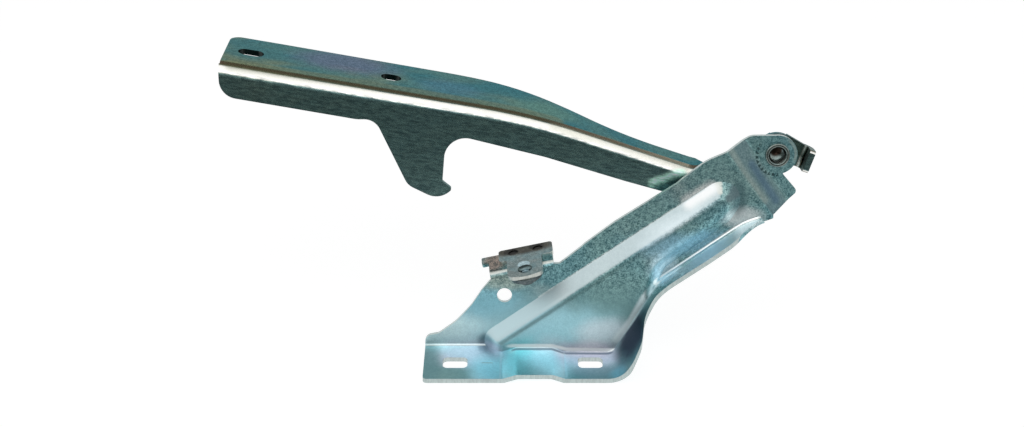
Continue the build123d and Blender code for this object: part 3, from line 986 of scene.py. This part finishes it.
BRACKET_FINISH = BracketFinish(
    name="bracket_blue_zinc",
    metal=(122, 162, 164),
    cool=(106, 154, 164),
    warm=(134, 156, 158),
    film_scale=18.0,
    grain=1.0,
    grain_least=0.12,
    relief=0.35,
    bands=(
        # Painted highlight: the raised panel's left ramp, near white and without grain.
        Band(
            (-0.37, -0.65, 0.66), 0.94, (200, 214, 217),
            soft=0.05, strength=0.92, roughness=0.5, calm=1.0,
        ),
        # Painted shade: the joggle's ramp, a darker teal.
        Band((0.44, -0.77, 0.47), 0.95, (90, 108, 112), soft=0.04, strength=0.75, calm=0.8),
        # Painted highlight: near white on the faces that look up and forward.
        Band((-0.14, -0.55, 0.82), 0.97, (208, 212, 206), soft=0.02, strength=0.85, calm=1.0),
    ),
    patches=(
        # Painted reflection of the floor: lower left of the plate, light cyan.
        Patch(
            (-0.045, 0.0209, 0.011), (0.032, 0.012, 0.015), (220, 250, 255), 0.95, roughness=0.42,
        ),
        # Painted reflection of the floor: middle left of the plate, light cyan.
        Patch((-0.021, 0.0245, 0.03), (0.02, 0.01, 0.011), (150, 208, 224), 0.75),
        # Painted highlight: beige, high on the left of the plate.
        Patch((-0.011, 0.027, 0.0435), (0.014, 0.007, 0.005), (182, 192, 178), 0.5),
        # Painted reflection of the floor: low on the plateau, light cyan.
        Patch((0.012, 0.015, 0.017), (0.046, 0.008, 0.017), (166, 216, 228), 0.88, roughness=0.32),
        # Painted reflection of the floor: low on the plateau's right, pale lilac.
        Patch((0.052, 0.0143, 0.014), (0.018, 0.008, 0.01), (206, 222, 230), 0.75, roughness=0.32),
        # Painted shadow: a small dark spot at the foot of the plate, left of the pad.
        Patch((-0.0225, 0.0175, 0.0061), (0.005, 0.006, 0.005), (60, 100, 116), roughness=0.3),
        # Painted reflection of the floor on the base flange, pale lilac.
        Patch((-0.0323, 0.007, 0.003), (0.022, 0.012, 0.005), (208, 214, 230), 0.88, roughness=0.3),
        # Painted reflection of the floor on the base flange, light cyan.
        Patch(
            (-0.019, -0.008, 0.0035), (0.013, 0.014, 0.006), (184, 226, 238), 0.88, roughness=0.3,
        ),
        # Painted reflection of the floor on the base flange, light cyan.
        Patch((0.003, -0.002, 0.005), (0.014, 0.026, 0.008), (172, 240, 248), 0.88, roughness=0.3),
        # Painted reflection of the floor on the base flange, near white.
        Patch((0.016, -0.001, 0.005), (0.013, 0.024, 0.008), (214, 240, 250), 0.85, roughness=0.3),
        # Painted reflection of the floor on the base flange, pale lilac.
        Patch((0.04, 0.005, 0.004), (0.019, 0.014, 0.006), (216, 214, 228), 0.85, roughness=0.3),
        Patch((0.046, -0.011, 0.004), (0.018, 0.008, 0.006), (130, 150, 160), roughness=0.3),
        Patch((-0.058, -0.0025, 0.003), (0.008, 0.022, 0.006), (106, 148, 154)),
        # Painted shade: dark navy on the side flange's inner face.
        Patch(
            (0.066, 0.005, 0.02), (0.011, 0.016, 0.019), (26, 38, 66), 0.95,
            roughness=0.32, calm=0.9, facing=SIDE_FLANGE_IN,
        ),
        Patch((0.0585, -0.0135, 0.0055), (0.007, 0.006, 0.004), (122, 172, 188)),
        # Painted highlight: a glint where the side flange, the plateau and the right ramp meet.
        Patch(
            (0.0845, 0.0268, 0.055), (0.009, 0.008, 0.012), (205, 236, 250),
            roughness=0.32, calm=0.9,
        ),
        # Painted reflection of the floor: the right ramp, light blue.
        Patch((0.104, 0.0285, 0.069), (0.036, 0.01, 0.009), (142, 192, 214), 0.75, calm=0.8),
        # Painted highlight: near white on the strip at the foot of the side flange.
        Patch(
            (0.116, 0.025, 0.07), (0.036, 0.012, 0.024), (238, 250, 255), 0.92,
            roughness=0.45, calm=1.0, facing=(-0.57, -0.04, 0.82),
        ),
        # Painted highlight: near white on the low bend by the joggle.
        Patch(
            (0.131, 0.0345, 0.0845), (0.012, 0.008, 0.006), (232, 244, 246), 0.85,
            roughness=0.34, calm=0.9,
        ),
        # Painted shade: a darker teal spot beyond the raised panel's top end.
        Patch((0.1285, 0.0362, 0.096), (0.005, 0.006, 0.01), (66, 98, 106), 0.6, calm=0.8),
        # Painted reflection: reddish brown on the top flange's left, from the dark brown overhead.
        Patch((-0.019, 0.04, 0.05), (0.009, 0.012, 0.003), (126, 104, 92)),
    ),
    creases=(
        # Painted highlight: a white line along the fold at the foot of the pan.
        Crease(
            (
                (-0.016, 0.0156, 0.0052), (-0.006, 0.0127, 0.0068), (0.018, 0.0127, 0.0068),
                (0.027, 0.0123, 0.0044), (0.056, 0.0122, 0.004),
            ),
            0.0005, (252, 255, 255), 0.95, soft=0.0014, roughness=0.62, calm=1.0,
        ),
        # Painted reflection: a dark line on the flange just in front of that fold.
        Crease(
            (
                (-0.006, 0.0104, 0.0058), (0.018, 0.0104, 0.0058), (0.027, 0.01, 0.0032),
                (0.056, 0.0096, 0.003),
            ),
            0.0005, (76, 96, 118), 0.75, soft=0.0014, calm=0.9,
        ),
        # Painted shade: the left ramp darker along its lower end.
        Crease(
            ((-0.014, 0.0178, 0.0155), (0.01, 0.0216, 0.032)),
            0.002, (164, 200, 208), 0.36, soft=0.016, calm=0.9,
        ),
        # Painted highlight: white at the top end of the left ramp.
        Crease(
            ((0.099, 0.0345, 0.095), (0.112, 0.0365, 0.103)),
            0.001, (255, 255, 255), soft=0.006, calm=1.0,
        ),
        # Painted highlights: two thin light lines across the base flange.
        Crease(((-0.0131, 0.01, 0.003), (-0.0135, -0.016, 0.003)), 0.0002, (206, 224, 234), 0.5),
        Crease(((0.0255, 0.009, 0.0032), (0.0262, -0.015, 0.0032)), 0.0002, (200, 218, 230), 0.5),
        # Painted highlight: a thin light line along the foot of the left ramp.
        Crease(
            (plate_point(0.01, 0.0317), plate_point(0.108, 0.1007)),
            0.0003, (206, 220, 222), 0.7, soft=0.0006,
        ),
        # Painted highlight: the fillet between the side flange and the plateau, down to the base.
        Crease(
            (
                (0.079, 0.0215, 0.044), (0.0738, 0.0185, 0.038), (0.066, 0.0157, 0.023),
                (0.057, 0.0138, 0.0105),
            ),
            0.001, (224, 240, 244), 0.7, soft=0.0024, roughness=0.28, calm=1.0,
        ),
        # Painted highlight: the white fold line along the right ramp.
        Crease(
            (
                (0.0803, 0.024, 0.0452), (0.104, 0.0284, 0.0614), (0.1277, 0.0328, 0.0776),
                (0.14, 0.034, 0.0835),
            ),
            0.0008, (244, 250, 250), 0.9, soft=0.0016, roughness=0.25, calm=1.0,
        ),
        # Painted shade: a blue darkening down the middle of the joggle.
        Crease(
            ((0.137, 0.0452, 0.115), (0.142, 0.0437, 0.1076), (0.152, 0.041, 0.093)),
            0.0006, (66, 94, 120), 0.5, soft=0.0036, calm=0.5,
        ),
        # Painted highlight: a soft light line along the joggle's left edge.
        Crease(
            ((0.1235, 0.044, 0.125), (0.133, 0.0406, 0.11), (0.145, 0.0378, 0.0947)),
            0.0004, (150, 164, 156), 0.4, soft=0.0032, calm=0.6,
        ),
        # Painted shade: a darker grey-teal line along the joggle's ear side.
        Crease(
            ((0.136, 0.0497, 0.1223), (0.1478, 0.0468, 0.107), (0.16, 0.044, 0.091)),
            0.0004, (118, 148, 146), 0.45, soft=0.0022,
        ),
    ),
    edges=(
        SheetEdge(sheet=PLATE_FRONT),
        SheetEdge(sheet=(0.0, 0.0, 1.0), tolerance=0.02, side=PLATE_FRONT, start=-0.0083),
    ),
    edge_colour=(196, 208, 206),
)
ARM_FINISH = ArmFinish(
    name="arm_blue_zinc",
    metal=(78, 122, 122),
    cool=(56, 114, 124),
    warm=(124, 130, 98),
    rim=(0.55, 0.58, 0.58),
    film_strength=0.9,
    film_scale=64.0,
    film_stretch=(2.5, 1.0, 1.0),
    grain=0.5,
    pits=0.15,
    roughness=0.28,
    relief=0.12,
    bands=(
        # Painted highlight: the white band along the bend between web and flange.
        Band(
            PLATE_FRONT, 0.67, (230, 229, 224),
            high=0.95, soft=0.035, strength=0.95, roughness=0.27, calm=0.9,
        ),
        # Painted reflection: the brown upper part of the bend, from the dark brown overhead.
        Band(PLATE_FRONT, 0.3, (150, 134, 112), high=0.58, soft=0.12, calm=0.8),
        # Painted reflection: a greyer tone on the web, the faces that look forward.
        Band(PLATE_FRONT, 0.965, (102, 130, 130), soft=0.02, strength=0.85),
        # Painted light: a lighter grey tone on the faces that look back.
        Band(PLATE_BACK, 0.5, (112, 130, 130), soft=0.2, strength=0.75),
    ),
    patches=(
        Patch((-0.1087, 0.0958, 0.1586), (0.034, 0.014, 0.009), (100, 110, 140), 0.72),
        Patch((-0.0442, 0.0821, 0.1481), (0.02, 0.01, 0.008), (78, 124, 144), 0.6),
        Patch((-0.165, 0.088, 0.169), (0.016, 0.014, 0.008), (62, 112, 118), 0.6),
        Patch((0.018, 0.076, 0.137), (0.03, 0.01, 0.008), (98, 140, 128), 0.6),
        # Painted shade: near black inside the stop tab's bend.
        Patch((0.169, 0.047, 0.118), (0.005, 0.01, 0.008), (10, 26, 30), 0.92),
        # Painted shade: near black on the slot walls that look forward or down.
        *(
            Patch(
                slot, (0.013, 0.009, 0.008), (16, 26, 26), 0.97,
                ragged=0.1, soft=0.2, facing=SLOT_WALLS,
            )
            for slot in ARM_SLOTS
        ),
    ),
    creases=(
        # Painted reflection: an olive line along the bend, from the dark brown overhead.
        Crease(
            ((-0.172, 0.069, 0.17), (-0.06, 0.068, 0.151), (0.02, 0.064, 0.136)),
            0.003, (112, 120, 92), 0.55, soft=0.004,
        ),
        # Painted highlight: the bend's white band, dimmer and warmer toward the right end.
        Crease(
            ((0.02, 0.056, 0.1365), (0.055, 0.054, 0.1265), (0.1, 0.052, 0.1115)),
            0.003, (190, 192, 172), 0.6, soft=0.004,
        ),
        # Painted highlight: a teal glint on the web at the neck.
        Crease(
            ((0.0785, 0.0506, 0.0998), (0.096, 0.0506, 0.1066)),
            0.0002, (205, 255, 236), 0.95, soft=0.0042, roughness=0.5, calm=0.9,
        ),
        Crease(((0.16, 0.0542, 0.124), (0.169, 0.0542, 0.119)), 0.003, (70, 90, 82), soft=0.002),
    ),
    edges=(SheetEdge(sheet=PLATE_FRONT, tolerance=0.03, side=PLATE_FRONT, start=-0.0311),),
    edge_colour=(140, 154, 150),
)
NUT_PLATE_FINISH = SteelFinish(
    # Its brown is partly the film's warm tone and partly painted reflection of the dark brown
    # overhead.
    name="nut_plate_zinc_painted_reflections",
    metal=(126, 140, 140),
    cool=(110, 142, 148),
    warm=(122, 100, 92),
    film_scale=70.0,
    grain=0.5,
    patches=(
        # Painted reflection: the top bar dark brown, from the dark brown overhead.
        Patch((0.001, 0.047, 0.056), (0.024, 0.007, 0.007), (66, 62, 52), 0.92, soft=0.3),
        # Painted highlight: light blue inside the tongue's hole.
        Patch((0.0008, 0.0277, 0.0548), (0.0042, 0.0042, 0.003), (176, 204, 212), 0.85, soft=0.1),
        *(
            Patch(weld, (0.0046, 0.0032, 0.004), (34, 34, 32), 0.95, ragged=0.3, soft=0.2)
            for weld in WELDS
        ),
    ),
    edges=(SheetEdge(sheet=NUT_PLATE_UP, tolerance=0.05),),
    edge_colour=(206, 210, 204),
    edge_roughness=0.3,
)
WELD_NUT_FINISH = NutFinish(
    name="weld_nut_zinc",
    metal=(96, 106, 108),
    cool=(82, 100, 106),
    warm=(98, 94, 90),
    roughness=0.34,
    relief=0.5,
)
RIVET_FINISH = SteelFinish(
    name="rivet_rolled_zinc",
    metal=(126, 136, 132),
    cool=(110, 130, 132),
    warm=(122, 112, 104),
    film_scale=90.0,
    grain=0.35,
    pits=0.1,
    roughness=0.22,
    relief=0.08,
    patches=(
        # Painted shade: dark brown inside the rivet's bore.
        Patch(
            (0.1523, 0.049, 0.119), (0.0046, 0.009, 0.0046), (46, 34, 26), 0.97,
            ragged=0.1, soft=0.1, roughness=0.3,
        ),
    ),
)
BUSH_FINISH = SteelFinish(
    name="bush_bearing_metal",
    metal=(150, 140, 120),
    cool=(136, 134, 120),
    warm=(146, 128, 106),
    roughness=0.36,
)
WASHER_FINISH = SteelFinish(
    name="washer_zinc",
    metal=(150, 166, 168),
    cool=(124, 156, 164),
    warm=(150, 156, 160),
    roughness=0.32,
)


def dress(node: str, material: bpy.types.Material) -> None:
    """Gives a node of the frame one material in every slot.

    Args:
        node: the node's name.
        material: its material.
    """
    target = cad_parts[node]
    if not target.material_slots:
        target.data.materials.append(material)
    for slot in target.material_slots:
        slot.material = material
    log.info("%s wears %s", node, material.name)


@dataclass
class BodyBracket:
    """The pressed bracket with its base flange, side flange, panel and ear."""

    finish: BracketFinish = BRACKET_FINISH

    def build(self, groups: Groups) -> None:
        """Dresses the bracket."""
        dress("body_bracket", self.finish.material(groups))


@dataclass
class HoodArm:
    """The arm with its flange, crash hook, eye and stop tab."""

    finish: ArmFinish = ARM_FINISH

    def build(self, groups: Groups) -> None:
        """Dresses the arm."""
        dress("hood_arm", self.finish.material(groups))


@dataclass
class NutPlate:
    """The welded nut plate and the weld nut under its tongue."""

    plate_finish: SteelFinish = NUT_PLATE_FINISH
    nut_finish: NutFinish = WELD_NUT_FINISH

    def build(self, groups: Groups) -> None:
        """Dresses the plate and the nut."""
        dress("nut_plate", self.plate_finish.material(groups))
        dress("weld_nut", self.nut_finish.material(groups))


@dataclass
class Pivot:
    """The rivet, the bush and the washer that carry the arm."""

    rivet_finish: SteelFinish = RIVET_FINISH
    bush_finish: SteelFinish = BUSH_FINISH
    washer_finish: SteelFinish = WASHER_FINISH

    def build(self, groups: Groups) -> None:
        """Dresses the rivet, the bush and the washer.

        Args:
            groups: the shared node groups, by name.
        """
        dress("pivot_rivet", self.rivet_finish.material(groups))
        dress("pivot_bush", self.bush_finish.material(groups))
        dress("rear_washer", self.washer_finish.material(groups))


@dataclass(frozen=True)
class Softbox:
    """One soft area lamp, given by the radiance of its face."""

    name: str
    place: Point
    size: tuple[float, float]
    radiance: float
    colour: Colour
    target: Point = (0.0, 0.03, 0.08)

    def build(self) -> None:
        """Adds the lamp, turned to its target; its power is radiance times pi times area."""
        data = bpy.data.lights.new(self.name, "AREA")
        data.shape = "RECTANGLE"
        data.size, data.size_y = self.size
        data.energy = self.radiance * pi * self.size[0] * self.size[1]
        data.color = self.colour
        lamp = bpy.data.objects.new(self.name, data)
        lamp.location = self.place
        aim = Vector(self.target) - Vector(self.place)
        lamp.rotation_euler = aim.to_track_quat("-Z", "Y").to_euler()
        lamp.visible_camera = False
        bpy.context.scene.collection.objects.link(lamp)


@dataclass(frozen=True)
class Flag:
    """A dark card that stands in the studio for the metal to reflect, outside every view."""

    name: str
    corner: Point
    first: Point
    second: Point
    colour: Colour
    cells: int = 4

    def build(self) -> None:
        """Adds the card: its corner plus shares of its two sides, on a grid."""
        side = self.cells + 1
        share = np.linspace(0.0, 1.0, side)
        across, along = np.meshgrid(share, share)
        points = (
            np.array(self.corner)
            + across[..., None] * np.array(self.first)
            + along[..., None] * np.array(self.second)
        ).reshape(-1, 3)
        row, column = np.meshgrid(np.arange(self.cells), np.arange(self.cells), indexing="ij")
        low = (row * side + column).ravel()
        faces = np.column_stack([low, low + 1, low + side + 1, low + side])
        mesh = bpy.data.meshes.new(self.name)
        mesh.from_pydata(points.tolist(), [], faces.tolist())
        mesh.materials.append(self.material())
        card = bpy.data.objects.new(self.name, mesh)
        for sight in ("camera", "diffuse", "transmission", "volume_scatter", "shadow"):
            setattr(card, f"visible_{sight}", False)
        bpy.context.scene.collection.objects.link(card)

    def material(self) -> bpy.types.Material:
        """Plain card of one dim colour.

        Returns:
            The material.
        """
        made = bpy.data.materials.new(self.name)
        graph = cleared(made)
        glow = graph.node("ShaderNodeEmission")
        graph.put(glow.inputs["Color"], self.colour)
        graph.close(glow)
        return made


@dataclass
class Studio:
    """Pale floor, white surroundings, softboxes, dark cards and the camera."""

    target: Point = (-0.0065, 0.0353, 0.08683)
    elevation: float = 29.0
    distance: float = 0.900
    lens: float = 52.73
    sensor: float = 36.0
    near: float = 0.01
    floor_half: float = 12.0
    floor_height: float = -0.0002
    floor_glow: float = 0.90
    floor_tone: float = 0.26
    paper_tone: float = 0.8
    sky_fill: float = 0.35
    softboxes: tuple[Softbox, ...] = (
        Softbox("key", (-0.82, -0.40, 0.95), (0.70, 0.75), 0.30, (1.0, 0.99, 0.98)),
        Softbox("front", (0.10, -0.60, 1.04), (1.15, 1.25), 0.42, (1.0, 0.99, 0.97)),
    )
    flags: tuple[Flag, ...] = (
        Flag("floor_cloth", (-0.9, -0.46, 0.0006), (1.8, 0.0, 0.0), (0.0, -0.64, 0.0), CLOTH),
        Flag("front_card", (-0.9, -1.10, 0.0), (1.8, 0.0, 0.0), (0.0, 0.0, 0.54), CLOTH),
        Flag("top_card", (-0.65, 0.12, 1.0), (1.3, 0.0, 0.0), (0.0, 0.90, 0.0), TOP_CARD),
    )

    def build(self) -> None:
        """Adds the camera, the world, the floor, the softboxes and the cards."""
        self.add_camera()
        self.add_world()
        self.add_floor()
        for piece in (*self.softboxes, *self.flags):
            piece.build()

    def add_camera(self) -> None:
        """Adds the camera, level, at the photograph's height and distance."""
        data = bpy.data.cameras.new("camera")
        data.lens = self.lens
        data.sensor_width = self.sensor
        data.clip_start = self.near
        camera = bpy.data.objects.new("camera", data)
        rise = radians(self.elevation)
        offset = Vector((0.0, -cos(rise), sin(rise))) * self.distance
        camera.location = Vector(self.target) + offset
        camera.rotation_euler = (-offset).to_track_quat("-Z", "Y").to_euler()
        bpy.context.scene.collection.objects.link(camera)
        bpy.context.scene.camera = camera

    def seen_directly(self, graph: Graph) -> Socket:
        """1 for rays from the camera, a reflection or glass, and 0 for all others.

        Args:
            graph: the graph that the Light Path node goes into.

        Returns:
            The value's socket.
        """
        path = graph.node("ShaderNodeLightPath").outputs
        shiny = graph.maths("MAXIMUM", path["Is Glossy Ray"], path["Is Transmission Ray"])
        return graph.maths("MAXIMUM", path["Is Camera Ray"], shiny)

    def add_world(self) -> None:
        """Adds a white world, dimmer where it only fills the shadows."""
        world = bpy.data.worlds.new("studio")
        graph = cleared(world)
        seen = graph.product(self.seen_directly(graph), 1.0 - self.sky_fill)
        shade = graph.node("ShaderNodeBackground")
        graph.put(shade.inputs["Color"], WHITE)
        graph.put(shade.inputs["Strength"], graph.total(seen, self.sky_fill))
        graph.close(shade, "ShaderNodeOutputWorld")
        bpy.context.scene.world = world

    def add_floor(self) -> None:
        """Adds the floor: white paper that keeps a faint shadow."""
        half = self.floor_half
        corners = np.array([(-half, -half), (half, -half), (half, half), (-half, half)])
        points = np.column_stack([corners, np.full(len(corners), self.floor_height)])
        mesh = bpy.data.meshes.new("floor")
        mesh.from_pydata(points.tolist(), [], [(0, 1, 2, 3)])
        mesh.materials.append(self.floor_paper())
        floor = bpy.data.objects.new("floor", mesh)
        bpy.context.scene.collection.objects.link(floor)

    def floor_paper(self) -> bpy.types.Material:
        """Paper that glows white to the camera and reflections, and lights as plain paper.

        Returns:
            The material.
        """
        made = bpy.data.materials.new("floor_paper")
        graph = cleared(made)
        paper = graph.node("ShaderNodeBsdfDiffuse")
        graph.put(paper.inputs["Color"], (self.paper_tone,) * 3)
        shaded = graph.node("ShaderNodeBsdfDiffuse")
        graph.put(shaded.inputs["Color"], (self.floor_tone,) * 3)
        glow = graph.node("ShaderNodeEmission")
        glow.inputs["Strength"].default_value = self.floor_glow
        add = graph.node("ShaderNodeAddShader")
        choose = graph.node("ShaderNodeMixShader")
        for socket, shader in zip(add.inputs, (shaded, glow)):
            graph.put(socket, shader.outputs[0])
        graph.put(choose.inputs[0], self.seen_directly(graph))
        for socket, shader in zip(choose.inputs[1:], (paper, add)):
            graph.put(socket, shader.outputs[0])
        graph.close(choose)
        return made


def shared_groups() -> Groups:
    """Builds every shared node group once.

    Returns:
        The groups, by the name that the finishes use.
    """
    return {
        "grain": grain_group(),
        "film": film_group(),
        "patch": patch_group(),
        "crease": crease_group(),
        "facing": facing_group(),
        "edge": cut_edge_group(),
        "streaks": streak_group(),
        "staking": staking_group(),
        "turns": turns_group(),
    }


def main() -> None:
    """Builds the sub-assemblies in order."""
    logging.basicConfig(level=logging.INFO, format="%(name)s %(message)s")
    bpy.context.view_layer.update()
    bpy.context.scene.view_settings.view_transform = "Standard"
    Studio().build()
    groups = shared_groups()
    for part in (BodyBracket(), HoodArm(), NutPlate(), Pivot()):
        part.build(groups)
        log.info("dressed %s", type(part).__name__)


if __name__ == "__main__":
    main()
